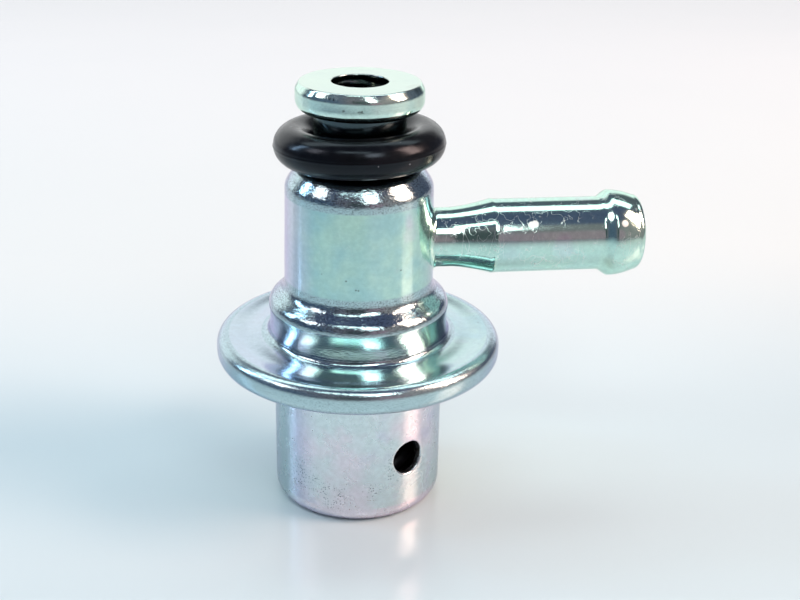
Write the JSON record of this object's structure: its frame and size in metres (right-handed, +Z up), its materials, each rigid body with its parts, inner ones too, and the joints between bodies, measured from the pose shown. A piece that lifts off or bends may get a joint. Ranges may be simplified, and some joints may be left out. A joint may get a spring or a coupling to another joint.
{
  "type": "fuel pressure regulator",
  "caption": "Diaphragm fuel pressure regulator: crimped steel housing on a vented spring cup, o-ring fitting on top and a barbed hose nipple at the side.",
  "frame": {"origin": "centre of the flat underside of the spring cup, which the regulator stands on", "axes": "+Z up the housing's axis to the o-ring fitting, +X along the hose nipple"},
  "size_m": [0.0461, 0.031, 0.047],
  "materials": {
    "body_plate": "drawn steel, bright zinc plate with blue-green clear passivate",
    "cup_plate": "drawn steel, bright zinc plate with a pale lilac tint",
    "turned_plate": "turned steel, bright zinc plate",
    "black_rubber": "moulded nitrile rubber, satin",
    "diaphragm_rubber": "fabric reinforced rubber, matte",
    "hard_steel": "hardened stainless steel, ground",
    "spring_steel": "drawn spring wire, zinc plated"
  },
  "bodies": {
    "housing": {"upper_body": "body_plate", "spring_cup": "cup_plate", "top_fitting": "turned_plate", "hose_nipple": "turned_plate", "o_ring": "black_rubber", "valve_seat": "hard_steel", "main_spring": "spring_steel", "diaphragm": "diaphragm_rubber"},
    "valve": {"valve_holder": "turned_plate", "spring_plate": "body_plate", "valve_retainer": "hard_steel", "ball_spring": "spring_steel"},
    "ball": {"valve_ball": "hard_steel"},
    "disc": {"valve_plate": "hard_steel"}
  },
  "joints": [
    {"name": "valve_lift", "type": "slide", "parent": "housing", "child": "valve", "axis": [0, 0, -1], "range_m": [0, 0.001], "stiffness_N_per_m": 13200, "springref_m": -0.0041, "deforming": ["main_spring", "diaphragm"]},
    {"name": "ball_swivel", "type": "hinge", "parent": "valve", "child": "ball", "pos_m": [0, 0, 0.02055], "axis": [1, 0, 0], "range_deg": [-2, 2]},
    {"name": "disc_tilt", "type": "hinge", "parent": "ball", "child": "disc", "pos_m": [0, 0, 0.02055], "axis": [0, 1, 0], "range_deg": [-2, 2]}
  ]
}
